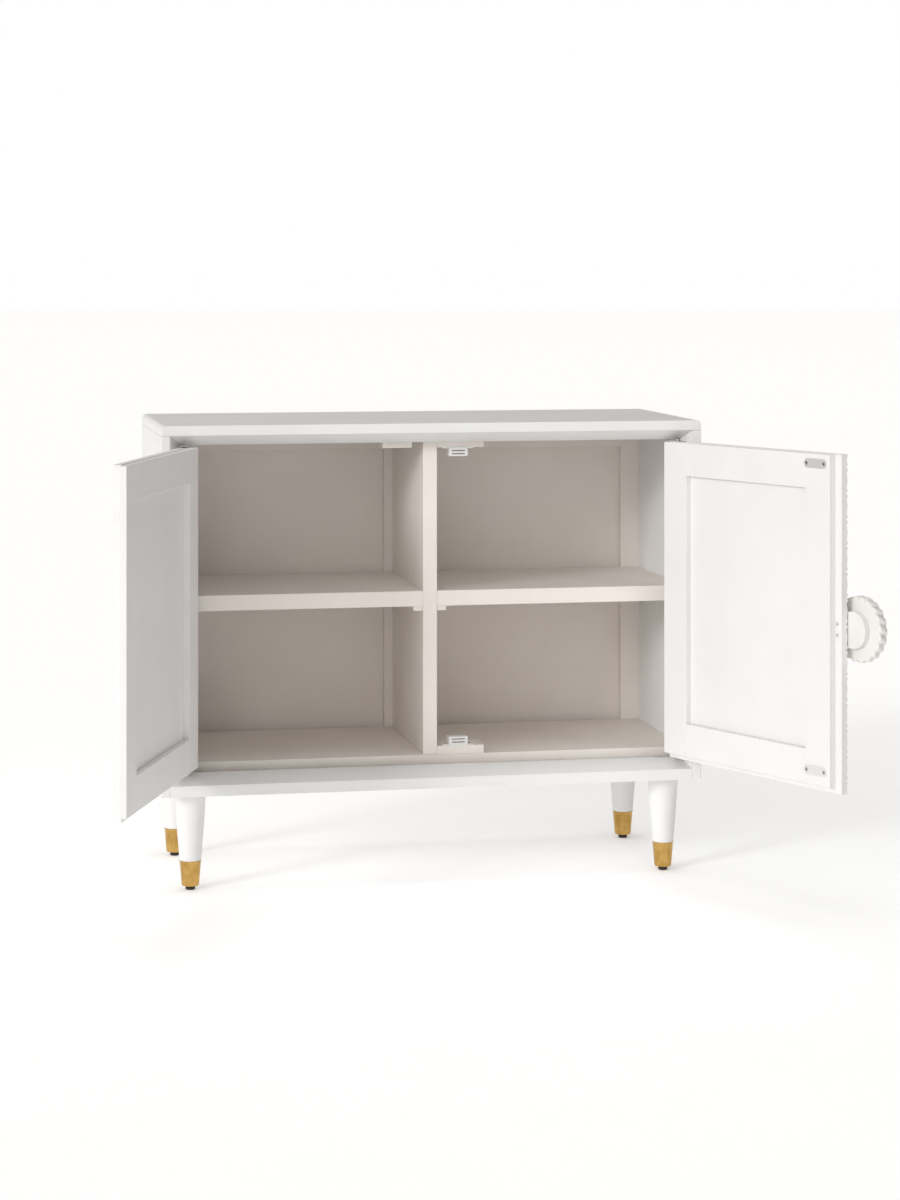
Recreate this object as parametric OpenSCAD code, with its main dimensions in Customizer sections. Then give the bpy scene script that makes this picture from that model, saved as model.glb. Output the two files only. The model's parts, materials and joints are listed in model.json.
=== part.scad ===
// Two-door apothecary cabinet on turned legs, shown with both doors standing open.
// Every piece is drawn where it sits with the cabinet's middle at x = 0, the carcass front at y = 0
// and the floor at z = 0; place() then moves the whole cabinet to the middle of its own box.

/* [Carcass] */
// Width of the carcass
body_w = 914; // [800:1:1100]
// Depth of the carcass
body_d = 381; // [330:1:460]
// Height of the carcass above its legs
body_h = 608; // [500:1:730]
// Thickness of the top board
top_t = 17; // [14:0.5:22]
// Thickness of each side board
side_t = 15; // [12:0.5:20]
// Thickness of the bottom board
base_t = 18; // [14:0.5:24]
// Radius of the rounded long edges of the top
corner_r = 8; // [3:0.5:12]

/* [Front moulding] */
// How far the moulding stands in from the boards
mould_w = 16; // [10:0.5:22]
// Depth of the sloping face
bevel_d = 26; // [16:0.5:30]
// Depth of the flat that the doors close into
rebate_d = 14; // [12:0.5:18]

/* [Inside] */
// Thickness of the raised floor
floor_t = 16; // [12:0.5:20]
// Height of the battens under the raised floor
batten_h = 13; // [9:0.5:20]
// Thickness of the middle divider
divider_t = 24; // [16:0.5:30]
// Thickness of the shelves
shelf_t = 26; // [16:0.5:30]
// Height of the shelf tops above the raised floor
shelf_z = 276; // [180:1:320]
// Width of the cleats under the shelves
cleat_w = 16; // [10:0.5:24]
// Height of the cleats under the shelves
cleat_h = 8; // [6:0.5:16]
// Gap between the closed doors and what stands inside
inner_gap = 3; // [2:0.5:6]

/* [Back] */
// Thickness of the plywood back sheet
back_t = 5; // [3:0.5:8]
// Thickness of the stiles and rail in front of the back sheet
back_frame_t = 16; // [10:0.5:20]
// Width of the outer back stiles
back_stile_w = 34; // [24:0.5:50]
// Width of the middle back stile
back_centre_w = 54; // [40:0.5:70]
// Height of the back rail under the top
back_rail_h = 49; // [30:0.5:60]
// How far the back sheet is let in from the rear edges
back_inset = 2; // [2:0.5:6]

/* [Doors] */
// Gap between a door and the opening
door_gap = 2.5; // [1.5:0.25:4]
// Gap between the two door fronts
seam_gap = 2.5; // [1.5:0.25:4]
// Thickness of the carved door front
front_t = 14; // [12:0.5:18]
// Thickness of the frame behind the front
frame_t = 12; // [8:0.5:16]
// Width of the frame's stiles
stile_w = 57; // [40:0.5:75]
// Width of the frame's rails
rail_w = 55; // [40:0.5:75]
// Step from the front's top edge down to the frame
frame_top_step = 1; // [1:0.5:10]
// Step from the front's bottom edge up to the frame
frame_low_step = 9; // [4:0.5:12]
// Width of the lap where the two doors meet
lap_w = 14; // [8:0.5:20]
// Clearance between the lapping faces
lap_gap = 1; // [0.5:0.25:2]
// Thickness of the lining inside the frame
lining_t = 2; // [1:0.5:4]
// Clearance round the lining
lining_gap = 0.2; // [0.1:0.1:0.5]
// Angle at which the right door stands open
right_open = 114.5; // [0:0.5:120]
// Angle at which the left door stands open
left_open = 110; // [0:0.5:120]

/* [Hinges] */
// Distance of the pivot axis from the opening's side
pivot_in = 4; // [4:0.25:8]
// Distance of the pivot axis in front of the door front
pivot_out = 2.5; // [2.5:0.25:6]
// Radius of the hinge pin
pin_r = 2; // [1.5:0.25:3]
// Radial clearance of the pin in its eye
pin_clear = 0.05; // [0.02:0.01:0.1]
// Radius of the eye
eye_r = 3.6; // [3:0.1:3.8]
// Thickness of the hinge plate on the moulding
plate_t = 1; // [0.8:0.1:1.4]
// Thickness of the hinge leaf let into the door
leaf_t = 1.5; // [1:0.1:2]
// Length of each hinge leaf
leaf_l = 38; // [28:1:60]
// Width of each hinge leaf
leaf_w = 10; // [8:0.5:11]
// Clearance round a leaf in its mortise
mortise_gap = 0.1; // [0.05:0.05:0.3]

/* [Knob] */
// Radius of the knob over its lobes
knob_r = 53.4; // [40:0.1:60]
// Thickness of the knob's disc
knob_t = 17; // [12:0.5:22]
// Number of lobes round the rim
lobes = 20; // [12:1:24]
// Radius of each lobe
lobe_r = 8.6; // [7:0.1:12]
// Radius of the boss that carries the disc
boss_r = 29.5; // [22:0.5:34]
// Height of the boss
boss_h = 11.4; // [8:0.1:16]
// How far the knob's middle stands beyond the right door's edge
knob_over = 8; // [0:0.5:12]
// Height of the knob below the middle of the doors
knob_drop = 9; // [0:0.5:40]
// Distance of the knob screws from the door's edge
knob_screw_in = 9.9; // [7:0.1:14]
// Distance between the two knob screws
knob_screw_pitch = 17.3; // [12:0.1:30]
// Clearance of the boss over the other door
knob_clear = 1; // [0.5:0.25:2]

/* [Catches] */
// Length of the strike plates and of the catches
strike_l = 52; // [40:0.5:60]
// Width of the strike plates
strike_w = 15; // [12:0.5:18]
// Thickness of the strike plates
strike_t = 1.2; // [0.8:0.1:2]
// Distance of the strike plates from the frame's free edge
strike_in = 7; // [5:0.5:12]
// Air between a closed strike plate and its catch
strike_gap = 0.8; // [0.4:0.1:1.5]
// Distance between the screws of a catch or strike plate
catch_pitch = 40; // [30:0.5:46]
// Length of the magnet case
catch_l = 32; // [24:0.5:34]
// Depth of the magnet case
catch_d = 20; // [14:0.5:26]
// Height of the magnet case
catch_h = 15; // [12:0.5:18]
// Thickness of the case's mounting flange
flange_t = 2; // [1.5:0.5:3]
// Length of the blocks that carry the catches
block_l = 80; // [70:1:100]
// Depth of the blocks that carry the catches
block_d = 58; // [40:1:80]
// Height of the lower block
low_block_h = 14; // [10:0.5:20]
// Height of the upper block
high_block_h = 27; // [16:0.5:30]
// Length of the left door's stop block
stop_l = 51; // [40:1:70]
// Depth of the left door's stop block
stop_d = 22; // [16:1:40]
// Height of the left door's stop block
stop_h = 27; // [20:0.5:34]
// Distance of the stop block from the divider
stop_in = 19; // [5:1:40]

/* [Legs] */
// Height of the carcass above the floor
leg_h = 162; // [120:1:220]
// Distance of the leg axes from the carcass sides
leg_in_x = 53; // [40:1:80]
// Distance of the leg axes from the carcass front and back
leg_in_y = 53; // [40:1:80]
// Radius of a leg at its top
leg_top_r = 26; // [20:0.5:32]
// Length of the brass ferrule
ferrule_h = 42.5; // [30:0.5:60]
// Radius of the ferrule's mouth
ferrule_top_r = 18; // [14:0.5:22]
// Radius of the ferrule's bottom
ferrule_low_r = 14.5; // [11:0.5:18]
// Wall of the ferrule
ferrule_wall = 1; // [0.6:0.1:2]
// Clearance between the leg's end and its ferrule
ferrule_gap = 0.1; // [0.05:0.05:0.3]
// Radius of the glide's foot
glide_r = 8; // [6:0.5:12]
// Height of the glide's foot
glide_h = 6.5; // [5:0.5:10]
// Radius of the glide's stem
stem_r = 3; // [2.5:0.25:4]
// Length of the glide's stem
stem_l = 26; // [20:1:36]
// Radial clearance of the glide's stem
stem_clear = 0.08; // [0.02:0.01:0.1]
// Radius of the hanger bolt in a leg's top
bolt_r = 4; // [3:0.5:6]
// Length of the hanger bolt inside the leg
bolt_in = 30; // [20:1:45]

/* [Hidden] */
$fn = 48;

paint = "#f1efeb";
inside_paint = "#e4e0da";
brass = "#b8893a";
steel = "#c4c5c8";
black = "#1b1b1d";
plastic = "#e6e5e0";

cut = 1;                                    // how far a cutter runs past what it cuts
top_z = leg_h + body_h;
ceiling_z = top_z - top_t;
base_top_z = leg_h + base_t;
inner_x = body_w / 2 - side_t;              // inside face of the right side board
inner_h = ceiling_z - base_top_z;
mould_d = bevel_d + rebate_d;
open_x = inner_x - mould_w;                 // side of the door opening
open_low_z = base_top_z + mould_w;
open_high_z = ceiling_z - mould_w;
mid_z = (open_low_z + open_high_z) / 2;

door_x = open_x - door_gap;                 // hinge edge of a closed door
door_low_z = open_low_z + door_gap;
door_high_z = open_high_z - door_gap;
frame_low_z = door_low_z + frame_low_step;
frame_high_z = door_high_z - frame_top_step;
front_y = bevel_d;                          // face of a closed door
frame_y = front_y + front_t;
door_back_y = frame_y + frame_t;
seam_x = seam_gap / 2;                      // free edge of a closed front
right_free_x = seam_x + lap_w;              // free edge of the right frame
left_free_x = seam_x - lap_w;               // free edge of the left frame, seen mirrored
pivot_x = open_x - pivot_in;
pivot_y = front_y - pivot_out;

inner_y = door_back_y + inner_gap;          // front of the floor, divider and shelves
sheet_y = body_d - back_inset - back_t;
back_frame_y = sheet_y - back_frame_t;
floor_low_z = base_top_z + batten_h;
floor_z = floor_low_z + floor_t;
shelf_top_z = floor_z + shelf_z;
shelf_low_z = shelf_top_z - shelf_t;

catch_x = right_free_x + strike_in + strike_l / 2;
catch_y = door_back_y + strike_t + strike_gap;
low_catch_z = floor_z + low_block_h;
high_catch_z = ceiling_z - high_block_h;
block_x = divider_t / 2 + block_l / 2;
catch_screw_y = catch_y + catch_d / 2;

knob_x = seam_x - knob_over;
knob_z = mid_z - knob_drop;
knob_face_y = front_y - boss_h;

leg_x = body_w / 2 - leg_in_x;
back_leg_y = body_d - leg_in_y;
ferrule_z = glide_h;
ferrule_top_z = ferrule_z + ferrule_h;
ferrule_rim = 2;                            // rounding of the ferrule's lower edge

nut_h = 6.5;
nut_room = 14;                              // from a leg's axis to the batten beside it
batten_w = 30;

screw_r = 1.5;
head_r = 3;
head_h = 0.7;
sink_h = 1.4;                               // depth of a countersunk head
hinge_screw_l = 12;
catch_screw_l = 12;
strike_screw_l = 10;
back_screw_l = 16;
knob_screw_r = 2;
knob_head_r = 4;
knob_head_h = 2.5;
hinge_screw_x = [door_x - leaf_l * 0.8, door_x - leaf_l * 0.4];
leaf_y = front_y + (front_t - leaf_w) / 2;
leaf_end = 0.5;                             // the leaf stops this far short of the door's hinge edge
mid_leaf_y = front_y + front_t / 2;
back_screw_z = [base_top_z + 40, mid_z, ceiling_z - 20];
back_screw_x = [-inner_x + back_stile_w / 2, 0, inner_x - back_stile_w / 2];

// Where a point of a closed door is when the door has swung open by an angle about its pivot
function swung_x(x, y, a) = pivot_x + (x - pivot_x) * cos(a) - (y - pivot_y) * sin(a);
function swung_y(x, y, a) = pivot_y + (x - pivot_x) * sin(a) + (y - pivot_y) * cos(a);

knob_low_y = knob_face_y - knob_t;
box_left = min(-body_w / 2, -swung_x(seam_x, front_y, left_open), -swung_x(left_free_x, frame_y, left_open));
box_right = max(body_w / 2, swung_x(knob_x, knob_low_y, right_open) + knob_r * abs(cos(right_open)));
box_front = min(
  0,
  swung_y(left_free_x, door_back_y, left_open),
  swung_y(knob_x, knob_face_y, right_open) - knob_r * abs(sin(right_open))
);
centre_x = (box_left + box_right) / 2;
centre_y = (box_front + body_d) / 2;

// Moves a piece from the cabinet's own middle to the middle of the standing box
module place() translate([-centre_x, -centre_y, 0]) children();

// A square-edged board between two opposite corners
module board(low, high) translate(low) cube(high - low);

// Carries what hangs on a door to where the open door stands; left pieces are drawn mirrored
module swing(angle) translate([pivot_x, pivot_y, 0]) rotate([0, 0, angle])
  translate([-pivot_x, -pivot_y, 0]) children();
module on_right_door() swing(right_open) children();
module on_left_door() mirror([1, 0, 0]) swing(left_open) children();

// A drilled hole or a screw shank along Z, upwards from its foot
module up_rod(x, y, z, r, l) translate([x, y, z]) cylinder(r = r, h = l);

// The same along Y, from its front end
module y_rod(x, y, z, r, l) translate([x, y, z]) rotate([-90, 0, 0]) cylinder(r = r, h = l);

// Copies what is drawn at the upper hinge to the lower one as well
module top_and_bottom() {
  children();
  translate([0, 0, 2 * mid_z]) mirror([0, 0, 1]) children();
}

// ---- carcass ----

module top_board() color(paint)
  translate([0, body_d, ceiling_z]) rotate([90, 0, 0]) linear_extrude(body_d) union() {
    translate([-body_w / 2, 0]) square([body_w, top_t - corner_r]);
    translate([-body_w / 2 + corner_r, 0]) square([body_w - 2 * corner_r, top_t]);
    for (s = [-1, 1]) translate([s * (body_w / 2 - corner_r), top_t - corner_r]) circle(corner_r);
  }

module bottom_board() color(paint) difference() {
  board([-inner_x, 0, leg_h], [inner_x, body_d, base_top_z]);
  at_legs() up_rod(0, 0, leg_h - cut, bolt_r, base_t + 2 * cut);
}

module left_side() color(paint) board([-body_w / 2, 0, leg_h], [-inner_x, body_d, ceiling_z]);

module right_side() color(paint) board([inner_x, 0, leg_h], [body_w / 2, body_d, ceiling_z]);

// A bevelled strip hanging from z = 0, its ends cut to a mitre
module mitred_strip(length) difference() {
  translate([-length / 2, 0, 0]) rotate([90, 0, 90]) linear_extrude(length)
    polygon([[0, 0], [bevel_d, -mould_w], [mould_d, -mould_w], [mould_d, 0]]);
  for (s = [0, 1]) mirror([s, 0, 0]) translate([length / 2, -cut, 0]) rotate([0, 45, 0])
    translate([0, 0, -2 * mould_w]) cube([4 * mould_w, mould_d + 2 * cut, 4 * mould_w]);
}

// Pilot holes for the hinge plates of both doors, in the moulding over the opening
module hinge_pilots() for (s = [-1, 1], x = hinge_screw_x)
  up_rod(s * x, mid_leaf_y, open_high_z - cut, screw_r, hinge_screw_l - plate_t + cut);

module top_moulding() color(paint) difference() {
  translate([0, 0, ceiling_z]) mitred_strip(2 * inner_x);
  hinge_pilots();
}

module bottom_moulding() color(paint) difference() {
  translate([0, 0, base_top_z]) mirror([0, 0, 1]) mitred_strip(2 * inner_x);
  translate([0, 0, 2 * mid_z]) mirror([0, 0, 1]) hinge_pilots();
}

module right_moulding() color(paint)
  translate([inner_x, 0, base_top_z + inner_h / 2]) rotate([0, 90, 0]) mitred_strip(inner_h);

module left_moulding() color(paint) mirror([1, 0, 0]) right_moulding();

// ---- inside ----

module floor_panel() color(inside_paint)
  board([-inner_x, inner_y, floor_low_z], [inner_x, back_frame_y, floor_z]);

module floor_battens() color(inside_paint) for (y = [leg_in_y + nut_room, back_leg_y - nut_room - batten_w])
  board([-inner_x, y, base_top_z], [inner_x, y + batten_w, floor_low_z]);

module divider() color(inside_paint)
  board([-divider_t / 2, inner_y, floor_z], [divider_t / 2, back_frame_y, ceiling_z]);

module right_shelf() color(inside_paint)
  board([divider_t / 2, inner_y, shelf_low_z], [inner_x, back_frame_y, shelf_top_z]);

module left_shelf() color(inside_paint) mirror([1, 0, 0]) right_shelf();

module shelf_cleats() color(inside_paint) for (s = [0, 1]) mirror([s, 0, 0])
  for (x = [divider_t / 2, inner_x - cleat_w])
    board([x, inner_y + inner_gap, shelf_low_z - cleat_h], [x + cleat_w, back_frame_y, shelf_low_z]);

// ---- back ----

module back_holes() for (x = back_screw_x, z = back_screw_z)
  y_rod(x, body_d - back_inset - back_screw_l, z, screw_r, back_screw_l + cut);

module back_sheet() color(inside_paint) difference() {
  board([-inner_x, sheet_y, base_top_z], [inner_x, sheet_y + back_t, ceiling_z]);
  back_holes();
}

module back_stile(x, w) color(inside_paint) difference() {
  board([x - w / 2, back_frame_y, base_top_z], [x + w / 2, sheet_y, ceiling_z]);
  back_holes();
}

module back_left_stile() back_stile(-inner_x + back_stile_w / 2, back_stile_w);
module back_centre_stile() back_stile(0, back_centre_w);
module back_right_stile() back_stile(inner_x - back_stile_w / 2, back_stile_w);

module back_top_rail() color(inside_paint) for (s = [0, 1]) mirror([s, 0, 0])
  board([back_centre_w / 2, back_frame_y, ceiling_z - back_rail_h],
    [inner_x - back_stile_w, sheet_y, ceiling_z]);

// ---- catches and stop ----

module catch_pilots(z) for (s = [-1, 1])
  up_rod(catch_x + s * catch_pitch / 2, catch_screw_y, z, screw_r, catch_screw_l);

module bottom_catch_block() color(inside_paint) difference() {
  board([block_x - block_l / 2, inner_y, floor_z],
    [block_x + block_l / 2, inner_y + block_d, low_catch_z]);
  catch_pilots(low_catch_z + flange_t - catch_screw_l);
}

module top_catch_block() color(inside_paint) difference() {
  board([block_x - block_l / 2, inner_y, high_catch_z],
    [block_x + block_l / 2, inner_y + block_d, ceiling_z]);
  catch_pilots(high_catch_z - flange_t);
}

// A magnet case standing on its flange, with its poles towards the door
module magnet_case(z) color(plastic) difference() {
  union() {
    board([catch_x - catch_l / 2, catch_y, z], [catch_x + catch_l / 2, catch_y + catch_d, z + catch_h]);
    board([catch_x - strike_l / 2, catch_screw_y - catch_d / 3, z],
      [catch_x + strike_l / 2, catch_screw_y + catch_d / 3, z + flange_t]);
  }
  catch_pilots(z + flange_t - catch_screw_l);
}

module bottom_catch() magnet_case(low_catch_z);
module top_catch() translate([0, 0, high_catch_z]) mirror([0, 0, 1]) magnet_case(0);

module left_stop_block() color(inside_paint)
  board([-divider_t / 2 - stop_in - stop_l, door_back_y + strike_gap, ceiling_z - stop_h],
    [-divider_t / 2 - stop_in, door_back_y + strike_gap + stop_d, ceiling_z]);

// ---- hinges ----

// The outline of a hinge leaf at the upper right corner: a plate with an ear round the pivot
module leaf_outline(grow) {
  translate([door_x - leaf_end - leaf_l - grow, leaf_y - grow])
    square([leaf_l + 2 * grow, leaf_w + 2 * grow]);
  translate([pivot_x - eye_r - grow, pivot_y])
    square([eye_r + door_x - leaf_end - pivot_x + 2 * grow, leaf_y - pivot_y]);
  translate([pivot_x, pivot_y]) circle(eye_r + grow);
}

// The plate screwed up under the moulding, with the pin riveted in its ear
module hinge_plate() difference() {
  union() {
    translate([0, 0, open_high_z - plate_t]) linear_extrude(plate_t) leaf_outline(0);
    up_rod(pivot_x, pivot_y, door_high_z - leaf_t, pin_r, door_gap + leaf_t);
  }
  for (x = hinge_screw_x) up_rod(x, mid_leaf_y, open_high_z - plate_t - cut, screw_r, plate_t + 2 * cut);
}

module right_hinge_plates() color(steel) top_and_bottom() hinge_plate();
module left_hinge_plates() color(steel) mirror([1, 0, 0]) top_and_bottom() hinge_plate();

// The leaf let into the top edge of the door, with the eye that turns on the pin
module hinge_leaf() difference() {
  translate([0, 0, door_high_z - leaf_t]) linear_extrude(leaf_t) leaf_outline(0);
  up_rod(pivot_x, pivot_y, door_high_z - leaf_t - cut, pin_r + pin_clear, leaf_t + 2 * cut);
  for (x = hinge_screw_x) translate([x, mid_leaf_y, door_high_z - sink_h])
    cylinder(r1 = screw_r, r2 = head_r, h = sink_h);
  for (x = hinge_screw_x) up_rod(x, mid_leaf_y, door_high_z - leaf_t - cut, screw_r, leaf_t + 2 * cut);
}

module right_hinge_leaves() color(steel) on_right_door() top_and_bottom() hinge_leaf();
module left_hinge_leaves() color(steel) on_left_door() top_and_bottom() hinge_leaf();

// Countersunk screws of a door's two leaves
module leaf_screws() top_and_bottom() for (x = hinge_screw_x) {
  up_rod(x, mid_leaf_y, door_high_z - hinge_screw_l, screw_r, hinge_screw_l - sink_h);
  translate([x, mid_leaf_y, door_high_z - sink_h]) cylinder(r1 = screw_r, r2 = head_r, h = sink_h);
}

// ---- doors, drawn closed at the right-hand opening ----

module mortise() {
  translate([0, 0, door_high_z - leaf_t]) linear_extrude(leaf_t + cut) leaf_outline(mortise_gap);
  for (x = hinge_screw_x) up_rod(x, mid_leaf_y, door_high_z - hinge_screw_l, screw_r, hinge_screw_l);
}

module door_front() difference() {
  board([seam_x, front_y, door_low_z], [door_x, frame_y, door_high_z]);
  top_and_bottom() mortise();
}

module hinge_stile() board([door_x - stile_w, frame_y, frame_low_z], [door_x, door_back_y, frame_high_z]);

module free_stile(x) board([x, frame_y, frame_low_z], [x + stile_w, door_back_y, frame_high_z]);

module top_rail(x)
  board([x + stile_w, frame_y, frame_high_z - rail_w], [door_x - stile_w, door_back_y, frame_high_z]);

module bottom_rail(x)
  board([x + stile_w, frame_y, frame_low_z], [door_x - stile_w, door_back_y, frame_low_z + rail_w]);

module lining(x) board(
  [x + stile_w + lining_gap, frame_y, frame_low_z + rail_w + lining_gap],
  [door_x - stile_w - lining_gap, frame_y + lining_t, frame_high_z - rail_w - lining_gap]
);

module left_door_front() color(paint) on_left_door() door_front();
module left_door_hinge_stile() color(paint) on_left_door() hinge_stile();
module left_door_free_stile() color(paint) on_left_door() difference() {
  free_stile(left_free_x);
  board([left_free_x - cut, frame_y - cut, frame_low_z - cut],
    [seam_x, frame_y + lap_gap, frame_high_z + cut]);
}
module left_door_top_rail() color(paint) on_left_door() top_rail(left_free_x);
module left_door_bottom_rail() color(paint) on_left_door() bottom_rail(left_free_x);
module left_door_lining() color(paint) on_left_door() lining(left_free_x);
module left_door_screws() color(steel) on_left_door() leaf_screws();

module knob_screw_holes() for (s = [-1, 1])
  translate([seam_x + knob_screw_in, 0, knob_z + s * knob_screw_pitch / 2]) {
    y_rod(0, knob_face_y, 0, knob_screw_r, frame_y - knob_face_y);
    translate([0, frame_y - knob_head_h, 0]) rotate([-90, 0, 0])
      cylinder(r1 = knob_screw_r, r2 = knob_head_r, h = knob_head_h);
  }

module strike_pilots() for (z = [low_catch_z + catch_h / 2, high_catch_z - catch_h / 2], s = [-1, 1])
  y_rod(catch_x + s * catch_pitch / 2, door_back_y + strike_t - strike_screw_l, z, screw_r, strike_screw_l);

module right_door_front() color(paint) on_right_door() difference() {
  door_front();
  knob_screw_holes();
}
module right_door_hinge_stile() color(paint) on_right_door() hinge_stile();
module right_door_free_stile() color(paint) on_right_door() difference() {
  free_stile(right_free_x);
  strike_pilots();
}
module right_door_top_rail() color(paint) on_right_door() top_rail(right_free_x);
module right_door_bottom_rail() color(paint) on_right_door() bottom_rail(right_free_x);
module right_door_lining() color(paint) on_right_door() lining(right_free_x);

module right_door_screws() color(steel) on_right_door() {
  leaf_screws();
  for (z = [low_catch_z + catch_h / 2, high_catch_z - catch_h / 2], s = [-1, 1])
    translate([catch_x + s * catch_pitch / 2, 0, z]) {
      y_rod(0, door_back_y + strike_t - strike_screw_l, 0, screw_r, strike_screw_l);
      y_rod(0, door_back_y + strike_t, 0, head_r, strike_gap / 2);
    }
}

module strike_plates() color(steel) on_right_door()
  for (z = [low_catch_z + catch_h / 2, high_catch_z - catch_h / 2]) difference() {
    translate([catch_x, door_back_y + strike_t, z]) rotate([90, 0, 0]) linear_extrude(strike_t) union() {
      square([strike_l - strike_w, strike_w], center = true);
      for (s = [-1, 1]) translate([s * (strike_l - strike_w) / 2, 0]) circle(strike_w / 2);
    }
    strike_pilots();
  }

module knob() color(paint) on_right_door() difference() {
  translate([knob_x, front_y, knob_z]) rotate([90, 0, 0]) union() {
    cylinder(r = boss_r, h = boss_h);
    translate([0, 0, boss_h]) linear_extrude(knob_t) union() {
      circle(knob_r - lobe_r / 2);
      for (i = [0 : lobes - 1]) rotate(i * 360 / lobes) translate([knob_r - lobe_r, 0]) circle(lobe_r);
    }
  }
  knob_pilots();
  board([knob_x - boss_r - cut, front_y - knob_clear, knob_z - boss_r - cut],
    [seam_x, front_y + cut, knob_z + boss_r + cut]);
}

module knob_pilots() for (s = [-1, 1])
  y_rod(seam_x + knob_screw_in, knob_face_y, knob_z + s * knob_screw_pitch / 2, knob_screw_r, boss_h + cut);

module knob_screws() color(steel) on_right_door() knob_screw_holes();

// ---- screws of the carcass ----

module cabinet_screws() color(steel) {
  for (s = [-1, 1], x = hinge_screw_x) top_and_bottom() {
    up_rod(s * x, mid_leaf_y, open_high_z - plate_t, screw_r, hinge_screw_l);
    up_rod(s * x, mid_leaf_y, open_high_z - plate_t - head_h, head_r, head_h);
  }
  for (s = [-1, 1]) translate([catch_x + s * catch_pitch / 2, catch_screw_y, 0]) {
    up_rod(0, 0, low_catch_z + flange_t - catch_screw_l, screw_r, catch_screw_l);
    up_rod(0, 0, low_catch_z + flange_t, head_r, head_h);
    up_rod(0, 0, high_catch_z - flange_t, screw_r, catch_screw_l);
    up_rod(0, 0, high_catch_z - flange_t - head_h, head_r, head_h);
  }
  for (x = back_screw_x, z = back_screw_z) {
    y_rod(x, body_d - back_inset - back_screw_l, z, screw_r, back_screw_l);
    y_rod(x, body_d - back_inset, z, head_r, head_h);
  }
}

// ---- legs ----

module at_leg(x, y) translate([x, y, 0]) children();
module at_legs() for (x = [-leg_x, leg_x], y = [leg_in_y, back_leg_y]) at_leg(x, y) children();

// A turned leg: a long taper with a slight swell, stepped at its foot to enter the ferrule
module leg() color(paint) {
  core_z = ferrule_z + ferrule_wall + ferrule_gap;
  core_low_r = ferrule_low_r - ferrule_wall - ferrule_gap;
  core_top_r = ferrule_top_r - ferrule_wall - ferrule_gap;
  swell_z = ferrule_top_z + (leg_h - ferrule_top_z) * 0.55;
  swell_r = ferrule_top_r + (leg_top_r - ferrule_top_r) * 0.62;
  difference() {
    rotate_extrude() polygon([
      [0, core_z], [core_low_r - ferrule_rim, core_z], [core_low_r, core_z + ferrule_rim],
      [core_top_r, ferrule_top_z], [ferrule_top_r, ferrule_top_z], [swell_r, swell_z],
      [leg_top_r, leg_h], [0, leg_h]
    ]);
    up_rod(0, 0, leg_h - bolt_in, bolt_r, bolt_in + cut);
    up_rod(0, 0, 0, stem_r + stem_clear, glide_h + stem_l + cut);
  }
}

module ferrule() color(brass) difference() {
  rotate_extrude() polygon([
    [0, ferrule_z], [ferrule_low_r - ferrule_rim, ferrule_z], [ferrule_low_r, ferrule_z + ferrule_rim],
    [ferrule_top_r, ferrule_top_z], [ferrule_top_r - ferrule_wall, ferrule_top_z],
    [ferrule_low_r - ferrule_wall, ferrule_z + ferrule_wall + ferrule_rim],
    [ferrule_low_r - ferrule_wall - ferrule_rim, ferrule_z + ferrule_wall], [0, ferrule_z + ferrule_wall]
  ]);
  up_rod(0, 0, 0, stem_r + stem_clear, ferrule_z + ferrule_wall + cut);
}

module glide() color(black) rotate_extrude() polygon([
  [0, 0], [glide_r - 1.5, 0], [glide_r, 1.5], [glide_r, glide_h - 2.5], [glide_r - 2.5, glide_h],
  [stem_r, glide_h], [stem_r, glide_h + stem_l], [0, glide_h + stem_l]
]);

module front_left_leg() at_leg(-leg_x, leg_in_y) leg();
module front_right_leg() at_leg(leg_x, leg_in_y) leg();
module back_left_leg() at_leg(-leg_x, back_leg_y) leg();
module back_right_leg() at_leg(leg_x, back_leg_y) leg();
module front_left_ferrule() at_leg(-leg_x, leg_in_y) ferrule();
module front_right_ferrule() at_leg(leg_x, leg_in_y) ferrule();
module back_left_ferrule() at_leg(-leg_x, back_leg_y) ferrule();
module back_right_ferrule() at_leg(leg_x, back_leg_y) ferrule();
module front_left_glide() at_leg(-leg_x, leg_in_y) glide();
module front_right_glide() at_leg(leg_x, leg_in_y) glide();
module back_left_glide() at_leg(-leg_x, back_leg_y) glide();
module back_right_glide() at_leg(leg_x, back_leg_y) glide();

module leg_bolts() color(steel) at_legs()
  up_rod(0, 0, leg_h - bolt_in, bolt_r, bolt_in + base_t + nut_h + cut);

module leg_nuts() color(steel) at_legs() difference() {
  translate([0, 0, base_top_z]) cylinder(r = 1.9 * bolt_r, h = nut_h, $fn = 6);
  up_rod(0, 0, base_top_z - cut, bolt_r, nut_h + 2 * cut);
}

place() top_board();
place() bottom_board();
place() left_side();
place() right_side();
place() top_moulding();
place() bottom_moulding();
place() left_moulding();
place() right_moulding();
place() floor_panel();
place() floor_battens();
place() divider();
place() left_shelf();
place() right_shelf();
place() shelf_cleats();
place() back_sheet();
place() back_left_stile();
place() back_centre_stile();
place() back_right_stile();
place() back_top_rail();
place() top_catch_block();
place() bottom_catch_block();
place() top_catch();
place() bottom_catch();
place() left_stop_block();
place() left_hinge_plates();
place() right_hinge_plates();
place() cabinet_screws();
place() front_left_leg();
place() front_right_leg();
place() back_left_leg();
place() back_right_leg();
place() front_left_ferrule();
place() front_right_ferrule();
place() back_left_ferrule();
place() back_right_ferrule();
place() leg_bolts();
place() leg_nuts();
place() front_left_glide();
place() front_right_glide();
place() back_left_glide();
place() back_right_glide();
place() left_door_front();
place() left_door_hinge_stile();
place() left_door_free_stile();
place() left_door_top_rail();
place() left_door_bottom_rail();
place() left_door_lining();
place() left_hinge_leaves();
place() left_door_screws();
place() right_door_front();
place() right_door_hinge_stile();
place() right_door_free_stile();
place() right_door_top_rail();
place() right_door_bottom_rail();
place() right_door_lining();
place() right_hinge_leaves();
place() right_door_screws();
place() strike_plates();
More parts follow.
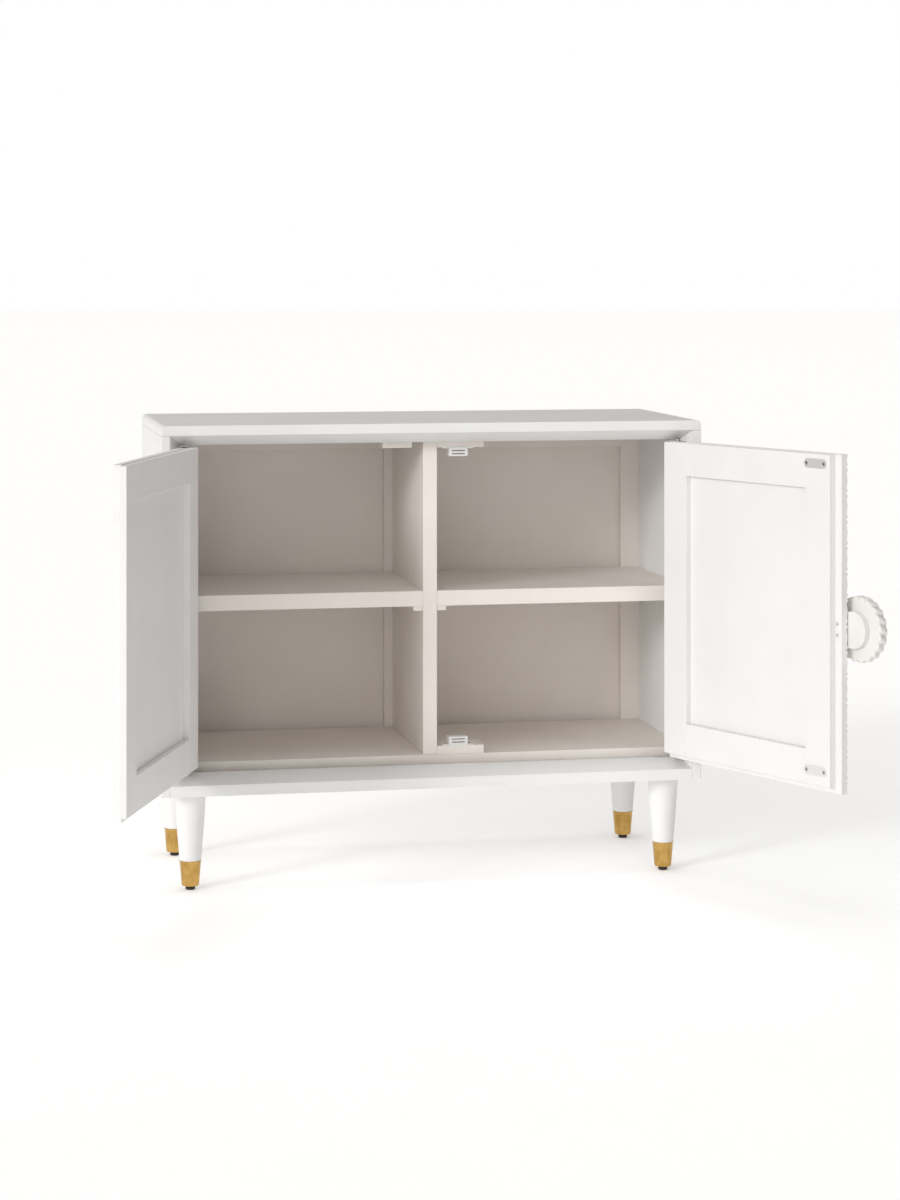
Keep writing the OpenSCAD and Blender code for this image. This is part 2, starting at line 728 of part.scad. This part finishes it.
place() knob();
place() knob_screws();
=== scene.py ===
import json
import math

import bmesh
import bpy
from mathutils import Matrix, Vector


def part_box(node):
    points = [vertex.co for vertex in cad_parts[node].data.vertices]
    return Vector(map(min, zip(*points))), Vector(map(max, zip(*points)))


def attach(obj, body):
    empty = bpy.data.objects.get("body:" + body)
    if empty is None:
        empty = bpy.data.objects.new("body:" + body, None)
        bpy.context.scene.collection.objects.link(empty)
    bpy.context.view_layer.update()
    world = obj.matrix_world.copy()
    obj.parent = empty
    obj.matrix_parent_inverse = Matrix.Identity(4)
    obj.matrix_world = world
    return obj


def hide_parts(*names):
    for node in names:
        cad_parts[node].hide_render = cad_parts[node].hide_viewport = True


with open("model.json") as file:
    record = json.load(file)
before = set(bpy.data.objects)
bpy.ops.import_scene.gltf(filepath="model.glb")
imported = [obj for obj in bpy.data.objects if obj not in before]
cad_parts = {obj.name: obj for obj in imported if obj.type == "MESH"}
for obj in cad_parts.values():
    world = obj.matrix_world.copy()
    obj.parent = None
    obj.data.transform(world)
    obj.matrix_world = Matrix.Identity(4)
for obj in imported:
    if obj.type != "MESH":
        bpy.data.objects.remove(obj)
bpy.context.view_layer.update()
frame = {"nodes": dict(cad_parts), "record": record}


# ---------------------------------------------------------------- carcass boards
# Four solid boards make the outside of the box: two sides and a bottom under one full-width top.
# They are sprayed satin white over sealed hardwood, so a little of the grain and of the spray's
# orange peel shows, and every sharp edge has been rubbed down before painting.

class Wire:
    """One output of a shader node; sums on it add the Math nodes."""

    def __init__(self, finish, socket):
        self.finish, self.socket = finish, socket

    def sum(self, operation, *values):
        return self.finish.node("ShaderNodeMath", {"operation": operation}, dict(enumerate(values)))

    def __add__(self, other):
        return self.sum("ADD", self, other)

    def __mul__(self, other):
        return self.sum("MULTIPLY", self, other)

    __radd__ = __add__
    __rmul__ = __mul__


class Finish:
    """A material under construction."""

    def __init__(self, name, **shader_values):
        self.material = bpy.data.materials.new(name)
        self.material.use_nodes = True
        self.shader = self.material.node_tree.nodes["Principled BSDF"]
        self.connect(self.shader, {key.replace("_", " "): value for key, value in shader_values.items()})

    def connect(self, node, values):
        for key, value in values.items():
            if isinstance(value, Wire):
                self.material.node_tree.links.new(value.socket, node.inputs[key])
            else:
                node.inputs[key].default_value = value

    def node(self, kind, settings=None, values=None, output=0):
        made = self.material.node_tree.nodes.new(kind)
        for key, value in (settings or {}).items():
            if key == "stops":
                ramp = made.color_ramp
                while len(ramp.elements) < len(value):
                    ramp.elements.new(0.5)
                for stop, (place, shade) in zip(ramp.elements, value):
                    stop.position, stop.color = place, (shade, shade, shade, 1)
            else:
                setattr(made, key, value)
        self.connect(made, values or {})
        return Wire(self, made.outputs[output])

    def blend(self, factor, first, second):
        """A colour between two, by a factor from 0 to 1."""
        return self.node("ShaderNodeMix", {"data_type": "RGBA"}, {0: factor, 6: first, 7: second}, output=2)

    def spread(self, scale, turn=0.0):
        """Object coordinates, turned about Z and stretched to so many units a metre each way."""
        return self.node("ShaderNodeMapping", None, {
            "Vector": self.node("ShaderNodeTexCoord", output="Object"),
            "Rotation": (0, 0, turn), "Scale": scale})

    def noise(self, where, scale=1.0, detail=3.0, roughness=0.5):
        return self.node("ShaderNodeTexNoise", None, {
            "Vector": where, "Scale": scale, "Detail": detail, "Roughness": roughness})

    def bump(self, height, distance, strength=1.0):
        self.connect(self.shader, {"Normal": self.node("ShaderNodeBump", None, {
            "Strength": strength, "Distance": distance, "Height": height})})


def painted(name, light, dark, along, turn=0.0, sheen=0.42):
    """Sprayed white paint over a board whose grain runs along one axis."""
    finish = Finish(name, Specular_IOR_Level=0.45)
    scale = [260.0, 260.0, 260.0]
    scale["xyz".index(along)] = 7.0
    grain = finish.noise(finish.spread(scale, turn), detail=5.0, roughness=0.62)
    peel = finish.noise(finish.spread((420, 420, 420)), detail=1.0)
    cloud = finish.noise(finish.spread((5, 5, 5)), detail=4.0, roughness=0.6)
    tone = finish.node("ShaderNodeValToRGB", {"stops": [(0.35, 0.0), (0.68, 1.0)]}, {"Fac": cloud})
    pores = finish.node("ShaderNodeValToRGB", {"stops": [(0.58, 0.0), (0.74, 1.0)]}, {"Fac": grain})
    finish.connect(finish.shader, {
        "Base Color": finish.blend(pores * 0.35, finish.blend(tone, light, dark), dark),
        "Roughness": sheen + cloud * 0.1 + pores * 0.06})
    finish.bump(grain * 0.7 + peel * 0.3, 0.00035, 0.22)
    return finish.material


def dressed(piece, name, material, body, *nodes):
    """Gives a finished mesh its object, finish and body, and the solids that it stands for."""
    thing = bpy.data.objects.new(name, piece)
    bpy.context.scene.collection.objects.link(thing)
    piece.materials.clear()
    piece.materials.append(material)
    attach(thing, body)
    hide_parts(*nodes)
    return thing


def eased(node, material, width=0.0012, body="carcass"):
    """A copy of a board with its sharp edges rubbed down, in place of it."""
    cut = bmesh.new()
    cut.from_mesh(frame["nodes"][node].data)
    bmesh.ops.remove_doubles(cut, verts=cut.verts, dist=1e-6)
    bmesh.ops.dissolve_limit(cut, angle_limit=0.003, verts=cut.verts, edges=cut.edges)
    for face in cut.faces:
        face.smooth = True
    board = bpy.data.meshes.new(node + "_eased")
    cut.to_mesh(board)
    cut.free()
    if "custom_normal" in board.attributes:
        board.attributes.remove(board.attributes["custom_normal"])
    thing = dressed(board, node + "_eased", material, body, node)
    rub = thing.modifiers.new("rubbed_edges", "BEVEL")
    rub.width, rub.segments, rub.limit_method, rub.angle_limit = width, 3, "ANGLE", math.radians(38)
    rub.harden_normals = True
    return thing


white, white_shade = (0.825, 0.82, 0.812, 1), (0.79, 0.78, 0.766, 1)
across = painted("white_paint_across", white, white_shade, "x")
upright = painted("white_paint_upright", white, white_shade, "z")
for board, finish in (("top_board", across), ("bottom_board", across),
                      ("left_side", upright), ("right_side", upright)):
    eased(board, finish, 0.0015)


# ---------------------------------------------------------------- front moulding
# Four strips glued inside the mouth of the box, mitred at the corners like a picture frame.
# Each slopes inwards for most of its depth and ends in a flat that the doors close into.

for strip, finish in (("top_moulding", across), ("bottom_moulding", across),
                      ("left_moulding", upright), ("right_moulding", upright)):
    eased(strip, finish, 0.0008)


# ---------------------------------------------------------------- floor, divider and shelves
# A raised floor on two battens carries an upright divider, and a shelf rests on cleats at each side
# of it. Inside, the paint is a thinner and flatter coat than on the outside.

inner, inner_shade = (0.85, 0.795, 0.745, 1), (0.81, 0.75, 0.695, 1)
inside_across = painted("inside_paint_across", inner, inner_shade, "x", sheen=0.5)
inside_upright = painted("inside_paint_upright", inner, inner_shade, "z", sheen=0.5)
for board in ("floor_panel", "floor_battens", "left_shelf", "right_shelf"):
    eased(board, inside_across, 0.0012)
eased("divider", inside_upright, 0.0012)
inside_deep = painted("inside_paint_deep", inner, inner_shade, "y", sheen=0.5)
eased("shelf_cleats", inside_deep, 0.001)


# ---------------------------------------------------------------- back
# A thin plywood sheet is screwed on from behind over three stiles and a rail under the top,
# which are plain square strips set in the corners.

for strip in ("back_left_stile", "back_centre_stile", "back_right_stile"):
    eased(strip, inside_upright, 0.001)
eased("back_top_rail", inside_across, 0.001)
eased("back_sheet", inside_across, 0.0006)


# ---------------------------------------------------------------- catch blocks and stop
# Small glued blocks of the same painted wood: one above and one below carry the magnetic catches,
# and the third stops the left door.

for block in ("top_catch_block", "bottom_catch_block", "left_stop_block"):
    eased(block, inside_across, 0.0015)


# ---------------------------------------------------------------- magnetic catches
# Each catch is a moulded white plastic case with a screw flange at both ends and two steel pole
# plates that stand a hair proud of its face, with the magnet between them.

plastic = Finish("catch_plastic", Roughness=0.28, Specular_IOR_Level=0.5)
speck = plastic.noise(plastic.spread((900, 900, 900)), detail=2.0)
plastic.connect(plastic.shader, {"Base Color": plastic.blend(
    plastic.noise(plastic.spread((60, 60, 60)), detail=3.0), (0.74, 0.735, 0.72, 1), (0.8, 0.797, 0.785, 1))})
plastic.connect(plastic.shader, {"Roughness": 0.24 + speck * 0.14})
plastic.bump(speck, 0.0001, 0.3)

steel = Finish("plate_steel", Metallic=1.0)
brushing = steel.noise(steel.spread((90, 2500, 2500)), detail=3.0)
stain = steel.noise(steel.spread((140, 140, 140)), detail=4.0)
steel.connect(steel.shader, {
    "Base Color": steel.blend(stain, (0.5, 0.5, 0.51, 1), (0.66, 0.66, 0.67, 1)),
    "Roughness": 0.26 + brushing * 0.16})
steel.bump(brushing, 0.00005, 0.4)

plate_size = (0.022, 0.004, 0.0016)
# The pole plates are given a near-black steel colour. This is painted shade: it makes them read dark where bright
# steel would reflect the grey of the white room.
pole = Finish("pole_steel", Metallic=1.0, Roughness=0.4)
pole_shade_mottle = pole.noise(pole.spread((500, 500, 500)), detail=4.0)
pole.connect(pole.shader, {"Base Color": pole.blend(pole_shade_mottle, (0.1, 0.1, 0.105, 1), (0.24, 0.235, 0.23, 1)),
                           "Roughness": 0.34 + pole_shade_mottle * 0.2})

for catch in ("top_catch", "bottom_catch"):
    eased(catch, plastic.material, 0.0007)
    low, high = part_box(catch)
    middle = (low.x + high.x) / 2
    poles = bmesh.new()
    for side in (-1, 1):
        plate = bmesh.ops.create_cube(poles, size=1)["verts"]
        bmesh.ops.scale(poles, verts=plate, vec=plate_size)
        rise = (low.z + high.z) / 2 + (0.001 if catch == "bottom_catch" else -0.001) + side * 0.0026
        bmesh.ops.translate(poles, verts=plate, vec=(middle, low.y + 0.0016, rise))
    bmesh.ops.bevel(poles, geom=poles.edges, offset=0.0002, affect="EDGES",
                    segments=2, profile=0.5, material=-1)
    pole_mesh = bpy.data.meshes.new(catch + "_poles")
    poles.to_mesh(pole_mesh)
    poles.free()
    thing = dressed(pole_mesh, catch + "_poles", pole.material, "carcass")


# ---------------------------------------------------------------- hinge plates
# Pressed steel knife hinges, let in at the very ends of the doors: a plate under each moulding
# with a riveted pin, and a leaf in the door's edge that turns on it.

hinge_nodes = ("left_hinge_plates", "right_hinge_plates", "left_hinge_leaves", "right_hinge_leaves")
for plates in hinge_nodes + ("leg_bolts", "leg_nuts"):
    hardware = frame["nodes"][plates]
    hardware.data.materials.clear()
    hardware.data.materials.append(steel.material)


# ---------------------------------------------------------------- legs
# Turned hardwood legs with a slight swell, painted like the carcass and bolted up through the
# bottom board; the lathe leaves faint rings under the paint.

turned = Finish("turned_paint", Specular_IOR_Level=0.45)
rings = turned.noise(turned.spread((14, 14, 620)), detail=4.0, roughness=0.6)
drift = turned.noise(turned.spread((12, 12, 9)), detail=4.0)
turned.connect(turned.shader, {
    "Base Color": turned.blend(drift, white, white_shade),
    "Roughness": 0.38 + drift * 0.12})
turned.bump(rings, 0.00035, 0.25)

brass = Finish("ferrule_brass", Metallic=1.0)
lathe = brass.noise(brass.spread((30, 30, 2400)), detail=3.0)
tarnish = brass.noise(brass.spread((55, 55, 38)), detail=6.0, roughness=0.66)
worn = brass.node("ShaderNodeValToRGB", {"stops": [(0.4, 0.0), (0.7, 1.0)]}, {"Fac": tarnish})
brass.connect(brass.shader, {
    "Base Color": brass.blend(worn, (0.62, 0.39, 0.12, 1), (0.42, 0.24, 0.06, 1)),
    "Roughness": 0.17 + worn * 0.08 + lathe * 0.05})
brass.bump(lathe * 0.8 + tarnish * 0.2, 0.0001, 0.2)

rubber = Finish("glide_plastic", Specular_IOR_Level=0.4)
grit = rubber.noise(rubber.spread((1300, 1300, 1300)), detail=2.0)
rubber.connect(rubber.shader, {
    "Base Color": rubber.blend(grit, (0.012, 0.012, 0.013, 1), (0.03, 0.03, 0.032, 1)),
    "Roughness": 0.42 + grit * 0.2})
rubber.bump(grit, 0.0001, 0.4)

for corner in ("front_left", "front_right", "back_left", "back_right"):
    eased(corner + "_leg", turned.material, 0.0006)
    ferrule_low, ferrule_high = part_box(corner + "_ferrule")
    axis = (ferrule_low + ferrule_high) / 2
    top_r = (ferrule_high.x - ferrule_low.x) / 2
    base, mouth = ferrule_low.z, ferrule_high.z
    outline = ((0.0032, base), (0.0122, base), (0.0138, base + 0.0006), (0.0145, base + 0.002),
               (0.0147, base + 0.004), (top_r - 0.0002, mouth - 0.0022), (top_r + 0.0003, mouth - 0.0012),
               (top_r + 0.0002, mouth - 0.0003), (top_r - 0.0006, mouth), (top_r - 0.001, mouth - 0.0006),
               (0.0135, base + 0.003), (0.0115, base + 0.001), (0.0032, base + 0.001))
    cup = bmesh.new()
    points = [cup.verts.new((axis.x + r, axis.y, z)) for r, z in outline]
    loop = [cup.edges.new(pair) for pair in zip(points, points[1:] + points[:1])]
    bmesh.ops.spin(cup, geom=points + loop, cent=(axis.x, axis.y, 0), axis=(0, 0, 1),
                   angle=math.tau, steps=64, use_merge=True)
    bmesh.ops.recalc_face_normals(cup, faces=cup.faces)
    for face in cup.faces:
        face.smooth = True
    cup_mesh = bpy.data.meshes.new(corner + "_cup")
    cup.to_mesh(cup_mesh)
    cup.free()
    cup_mesh.set_sharp_from_angle(angle=math.radians(50))
    thing = dressed(cup_mesh, corner + "_cup", brass.material, "carcass", corner + "_ferrule")
    eased(corner + "_glide", rubber.material, 0.0005, corner + "_glide_foot")


# ---------------------------------------------------------------- door fronts
# Each door's face is one board, carved all over in low relief with rows of square rosettes that
# run off its edges, and flat on the back where the frame is glued on.

joints = {joint["name"]: joint for joint in frame["record"]["behaviour"]["joints"]}
tile, relief = 0.041, 0.0035


class Door:
    """Where a door hangs, how far it stands open, and what is fixed on it."""

    def __init__(self, side, opened):
        joint = joints[side + "_door_hinge"]
        self.side, self.body = side, side + "_door"
        self.angle = math.radians(opened)
        spot = Vector(joint["pos_m"])
        self.open = Matrix.Translation(spot) @ Matrix.Rotation(self.angle, 4, "Z") @ Matrix.Translation(-spot)
        self.shut = self.open.inverted()

    def box(self, node):
        """The lowest and highest corners of a node of this door when it is shut."""
        spots = [self.shut @ corner.co for corner in frame["nodes"][node].data.vertices]
        return [Vector(edge(spot[i] for spot in spots) for i in range(3)) for edge in (min, max)]


doors = [Door("left", -joints["left_door_hinge"]["range_deg"][1]),
         Door("right", -joints["right_door_hinge"]["range_deg"][0])]

for door in doors:
    low, high = door.box(door.side + "_door_front")
    door.upright = painted(door.side + "_door_upright", white, white_shade, "z", -door.angle)
    door.across = painted(door.side + "_door_across", white, white_shade, "x", -door.angle)
    columns, rows = round((high.x - low.x) / tile), round((high.z - low.z) / tile)
    wide, tall = (high.x - low.x) * (columns + 1) / columns, (high.z - low.z) * (rows + 1) / rows
    carved = bmesh.new()
    bmesh.ops.create_grid(carved, x_segments=columns + 1, y_segments=rows + 1, size=0.5)
    bmesh.ops.scale(carved, verts=carved.verts, vec=(wide, tall, 1))
    bmesh.ops.rotate(carved, verts=carved.verts, cent=(0, 0, 0), matrix=Matrix.Rotation(math.pi / 2, 3, "X"))
    bmesh.ops.translate(carved, verts=carved.verts,
                        vec=((low.x + high.x) / 2, low.y + relief, (low.z + high.z) / 2))
    tiles = list(carved.faces)
    for thickness, depth in ((0.0012, 0), (0.0024, relief * 0.8), (0.0035, relief * 0.12),
                             (0.003, -relief * 0.5), (0.0018, -relief * 0.12)):
        bmesh.ops.inset_individual(carved, faces=tiles, thickness=thickness, depth=depth)
    petals = bmesh.ops.poke(carved, faces=tiles, offset=relief * 0.6)["faces"]
    bmesh.ops.inset_individual(carved, faces=petals, thickness=0.0009, depth=-relief * 0.15)
    for side, place in (((-1, 0, 0), low), ((1, 0, 0), high), ((0, 0, -1), low), ((0, 0, 1), high)):
        bmesh.ops.bisect_plane(carved, geom=carved.verts[:] + carved.edges[:] + carved.faces[:], dist=1e-6,
                               plane_co=place, plane_no=side, clear_outer=True)
    rim = [edge for edge in carved.edges if edge.is_boundary]
    back = {part for part in bmesh.ops.extrude_edge_only(carved, edges=rim)["geom"]
            if isinstance(part, bmesh.types.BMVert)}
    for corner in back:
        corner.co.y = high.y
    bmesh.ops.contextual_create(carved, geom=[
        edge for edge in carved.edges if edge.verts[0] in back and edge.verts[1] in back])
    bmesh.ops.remove_doubles(carved, verts=carved.verts, dist=1e-6)
    bmesh.ops.transform(carved, matrix=door.open, verts=carved.verts)
    bmesh.ops.recalc_face_normals(carved, faces=carved.faces)
    front = bpy.data.meshes.new(door.side + "_carved_front")
    carved.to_mesh(front)
    carved.free()
    thing = dressed(front, door.side + "_carved_front", door.upright, door.body, door.side + "_door_front")
    cut = thing.modifiers.new("gouge_marks", "BEVEL")
    cut.width, cut.segments, cut.limit_method, cut.angle_limit = 0.0005, 2, "ANGLE", math.radians(25)


# ---------------------------------------------------------------- door frames
# Behind each front, two stiles and two rails make a flat frame round a recess that is lined with
# a thin sheet. The left door's free stile laps behind the right door.

for door in doors:
    prefix = door.side + "_door_"
    for part in ("hinge_stile", "free_stile"):
        eased(prefix + part, door.upright, 0.0009, door.body)
    for part in ("top_rail", "bottom_rail"):
        eased(prefix + part, door.across, 0.0009, door.body)
    eased(prefix + "lining", door.upright, 0.0004, door.body)


# ---------------------------------------------------------------- strike plates
# Two stamped plates with round ends, screwed to the right door's frame where its corners meet
# the magnets. They are bright zinc-plated, and their edges are tumbled smooth.

zinc = Finish("bright_zinc", Metallic=0.75)
tumbled = zinc.noise(zinc.spread((420, 420, 420)), detail=4.0, roughness=0.6)
zinc.connect(zinc.shader, {
    "Base Color": zinc.blend(tumbled, (0.78, 0.78, 0.79, 1), (0.9, 0.9, 0.9, 1)),
    "Roughness": 0.34 + tumbled * 0.16})
zinc.bump(tumbled, 0.00005, 0.4)
eased("strike_plates", zinc.material, 0.0003, "right_door")


# ---------------------------------------------------------------- pull
# One turned wooden piece: a round boss glued and screwed to the right door, and a thick disc whose
# rim is carved into slanting lobes like a rope. It stands beyond the door's edge.

right = doors[1]
low, high = right.box("knob")
lobes, lobe_r, disc_t, boss_r = 20, 0.0086, 0.017, 0.0295
disc_r, face_y, slant = (high.z - low.z) / 2, low.y + disc_t, math.radians(9)
centre = Vector((high.x - disc_r, 0, (low.z + high.z) / 2))


def lobed(angle):
    """The rim's radius at an angle, where the outline is a ring of round lobes."""
    off = (angle + math.pi / lobes) % (math.tau / lobes) - math.pi / lobes
    reach = disc_r - lobe_r
    return reach * math.cos(off) + math.sqrt(lobe_r ** 2 - (reach * math.sin(off)) ** 2)


pull = bmesh.new()
steps = ((0.0, 0.80), (0.0, 0.93), (0.0006, 0.965), (0.002, 0.99), (0.0085, 1.0), (0.015, 0.99),
         (0.0164, 0.965), (disc_t, 0.93), (disc_t, 0.80))
ring = bmesh.ops.create_circle(pull, segments=lobes * 12, radius=1)["verts"]
for number, (depth, grow) in enumerate(steps):
    if number:
        around = [edge for edge in pull.edges if edge.verts[0] in ring and edge.verts[1] in ring]
        ring = [part for part in bmesh.ops.extrude_edge_only(pull, edges=around)["geom"]
                if isinstance(part, bmesh.types.BMVert)]
    for corner in ring:
        angle = math.atan2(corner.co.y, corner.co.x)
        plain = min(1.0, max(0.0, (grow - 0.8) / 0.1))
        radius = (lobed(angle - slant * depth / disc_t) * plain + (disc_r - lobe_r) * (1 - plain)) * grow
        corner.co = (math.cos(angle) * radius, math.sin(angle) * radius, depth)
    if number in (0, len(steps) - 1):
        bmesh.ops.contextual_create(pull, geom=[
            edge for edge in pull.edges if edge.verts[0] in ring and edge.verts[1] in ring])
bmesh.ops.rotate(pull, verts=pull.verts, cent=(0, 0, 0), matrix=Matrix.Rotation(-math.pi / 2, 3, "X"))
bmesh.ops.translate(pull, verts=pull.verts, vec=(centre.x, low.y, centre.z))
boss_place = Matrix.Translation((centre.x, (face_y + high.y) / 2, centre.z))
bmesh.ops.create_cone(pull, cap_ends=True, segments=96, radius1=boss_r, radius2=boss_r, depth=high.y - face_y,
                      matrix=boss_place @ Matrix.Rotation(math.pi / 2, 4, "X"))
edge_x = right.box("right_door_front")[0].x
bmesh.ops.bisect_plane(pull, geom=pull.verts[:] + pull.edges[:] + pull.faces[:], dist=1e-6,
                       plane_co=(edge_x, 0, 0), plane_no=(1, 0, 0))
for corner in pull.verts:
    if corner.co.x < edge_x - 1e-6 and abs(corner.co.y - high.y) < 1e-6:
        corner.co.y -= 0.001
bmesh.ops.transform(pull, matrix=right.open, verts=pull.verts)
bmesh.ops.recalc_face_normals(pull, faces=pull.faces)
for face in pull.faces:
    face.smooth = True
pull_mesh = bpy.data.meshes.new("rope_pull")
pull.to_mesh(pull_mesh)
pull.free()
pull_mesh.set_sharp_from_angle(angle=math.radians(42))
# The pull's paint is darker and browner than the door's white. This is painted shade, standing for the brownish
# grey its lobed rim shows in shade.
pull_paint = painted("pull_paint", (0.8, 0.785, 0.76, 1), (0.72, 0.7, 0.665, 1), "z", sheen=0.46)
thing = dressed(pull_mesh, "rope_pull", pull_paint, "right_door", "knob")


# ---------------------------------------------------------------- screws
# Cross-head steel screws hold the hinges, catches, strikes, back and pull. The cross in each head is drawn
# as two thin near-black bars on it, painted shadow for the recess, darker than the plated head around it.

# Near-black finish for the cross bars on the screw heads: painted shadow standing for the shade inside the cross
# recess.
shadow = Finish("screw_recess_shadow", Metallic=0.6, Roughness=0.6)
recess_shadow_mottle = shadow.noise(shadow.spread((1800, 1800, 1800)), detail=3.0)
shadow.connect(shadow.shader, {
    "Base Color": shadow.blend(recess_shadow_mottle, (0.02, 0.02, 0.022, 1), (0.06, 0.058, 0.055, 1)),
    "Roughness": 0.5 + recess_shadow_mottle * 0.2})
plated = Finish("screw_plating", Metallic=1.0)
wear = plated.noise(plated.spread((700, 700, 700)), detail=4.0)
plated.connect(plated.shader, {
    "Base Color": plated.blend(wear, (0.4, 0.39, 0.38, 1), (0.56, 0.55, 0.53, 1)),
    "Roughness": 0.28 + wear * 0.2})
plated.bump(wear, 0.00005, 0.4)


cross_w, cross_rise = 0.00055, 0.00012


def screws_of(node):
    """Each screw of a node as its list of corners."""
    loose = bmesh.new()
    loose.from_mesh(frame["nodes"][node].data)
    bmesh.ops.remove_doubles(loose, verts=loose.verts, dist=1e-6)
    left_over, found = set(loose.verts), []
    while left_over:
        group, edge_of = set(), [left_over.pop()]
        while edge_of:
            corner = edge_of.pop()
            group.add(corner)
            near = {edge.other_vert(corner) for edge in corner.link_edges} & left_over
            left_over -= near
            edge_of += near
        found.append([corner.co.copy() for corner in group])
    loose.free()
    return found


for node, body, turned_by in (("cabinet_screws", "carcass", Matrix()),
                              ("left_door_screws", "left_door", doors[0].open),
                              ("right_door_screws", "right_door", doors[1].open),
                              ("knob_screws", "right_door", doors[1].open)):
    hardware = frame["nodes"][node]
    hardware.data.materials.clear()
    hardware.data.materials.append(plated.material)
    crosses = bmesh.new()
    for corners in screws_of(node):
        spots = [turned_by.inverted() @ corner for corner in corners]
        bottom = Vector(min(spot[i] for spot in spots) for i in range(3))
        top = Vector(max(spot[i] for spot in spots) for i in range(3))
        size = top - bottom
        line = max(range(3), key=lambda i: size[i])
        middle = (bottom + top) / 2
        reach = {}
        for end, place in ((-1, bottom[line]), (1, top[line])):
            ring = [spot for spot in spots if abs(spot[line] - place) < 1e-5]
            reach[end] = max((Vector(spot[i] - middle[i] for i in range(3) if i != line)).length for spot in ring)
        end = max(reach, key=reach.get)
        spot = middle.copy()
        spot[line] = top[line] if end > 0 else bottom[line]
        for way in range(3):
            if way == line:
                continue
            bar = bmesh.ops.create_cube(crosses, size=1)["verts"]
            shape = [cross_w] * 3
            shape[line], shape[way] = cross_rise, reach[end] * 1.15
            bmesh.ops.scale(crosses, verts=bar, vec=shape)
            bmesh.ops.translate(crosses, verts=bar, vec=spot)
    bmesh.ops.transform(crosses, matrix=turned_by, verts=crosses.verts)
    cross_mesh = bpy.data.meshes.new(node + "_crosses")
    crosses.to_mesh(cross_mesh)
    crosses.free()
    thing = dressed(cross_mesh, node + "_crosses", shadow.material, body)


# ---------------------------------------------------------------- studio
# A wide pale floor and a white room that is brighter on the left, with a low soft lamp there, a
# broader one further round to the front and one overhead, so that the paint shades off gently.

floor_shape = bmesh.new()
bmesh.ops.create_circle(floor_shape, cap_ends=True, segments=96, radius=60)
floor_mesh = bpy.data.meshes.new("studio_floor")
floor_shape.to_mesh(floor_mesh)
floor_shape.free()
studio_floor = bpy.data.objects.new("studio_floor", floor_mesh)
bpy.context.scene.collection.objects.link(studio_floor)
pale = Finish("pale_floor", Roughness=0.9, Specular_IOR_Level=0.1, Emission_Strength=0.27)
pale.connect(pale.shader, {"Emission Color": (1, 1, 1, 1)})
dust = pale.noise(pale.spread((3, 3, 3)), detail=4.0)
pale.connect(pale.shader, {"Base Color": pale.blend(dust, (0.96, 0.96, 0.96, 1), (0.98, 0.98, 0.98, 1))})
floor_mesh.materials.append(pale.material)

room = bpy.data.worlds.new("white_room")
bpy.context.scene.world = room
room.use_nodes = True
sky = room.node_tree.nodes
seen = sky.new("ShaderNodeBackground")
seen.inputs["Color"].default_value, seen.inputs["Strength"].default_value = (1, 1, 1, 1), 1.0
sky["Background"].inputs["Color"].default_value = (1.0, 0.965, 0.93, 1)
either, path = sky.new("ShaderNodeMixShader"), sky.new("ShaderNodeLightPath")
way, split = sky.new("ShaderNodeTexCoord"), sky.new("ShaderNodeSeparateXYZ")
fade = sky.new("ShaderNodeMapRange")
for socket, value in (("From Min", -1.0), ("From Max", 1.0), ("To Min", 0.64), ("To Max", 0.18)):
    fade.inputs[socket].default_value = value
for source, target in ((way.outputs["Generated"], split.inputs[0]), (split.outputs["X"], fade.inputs["Value"]),
                       (fade.outputs[0], sky["Background"].inputs["Strength"]),
                       (path.outputs["Is Camera Ray"], either.inputs[0]),
                       (sky["Background"].outputs[0], either.inputs[1]), (seen.outputs[0], either.inputs[2]),
                       (either.outputs[0], sky["World Output"].inputs["Surface"])):
    room.node_tree.links.new(source, target)

lamps = (("side_lamp", 36, 17, 14, 1.0), ("front_lamp", 58, 18, 60, 0.74), ("top_lamp", 0, 90, 40, 0.6))
for name, bearing, rise, softness, power in lamps:
    lamp = bpy.data.lights.new(name, "SUN")
    lamp.angle, lamp.energy, lamp.color = math.radians(softness), power, (0.97, 0.985, 1.0)
    holder = bpy.data.objects.new(name, lamp)
    bpy.context.scene.collection.objects.link(holder)
    holder.rotation_euler = (0, math.radians(rise - 90), math.radians(bearing))

lens = bpy.data.cameras.new("camera")
lens.lens, lens.sensor_width, lens.shift_y = 85.2, 36, -0.2825
camera = bpy.data.objects.new("camera", lens)
bpy.context.scene.collection.objects.link(camera)
top_low, top_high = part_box("top_board")
aside, away, eye_height = 0.8725, 4.644, 1.0397
camera.location = ((top_low.x + top_high.x) / 2 - aside, top_low.y - away, eye_height)
camera.rotation_euler = (math.pi / 2, 0, math.radians(-10.92))
bpy.context.scene.camera = camera
bpy.context.scene.view_settings.view_transform = "Standard"
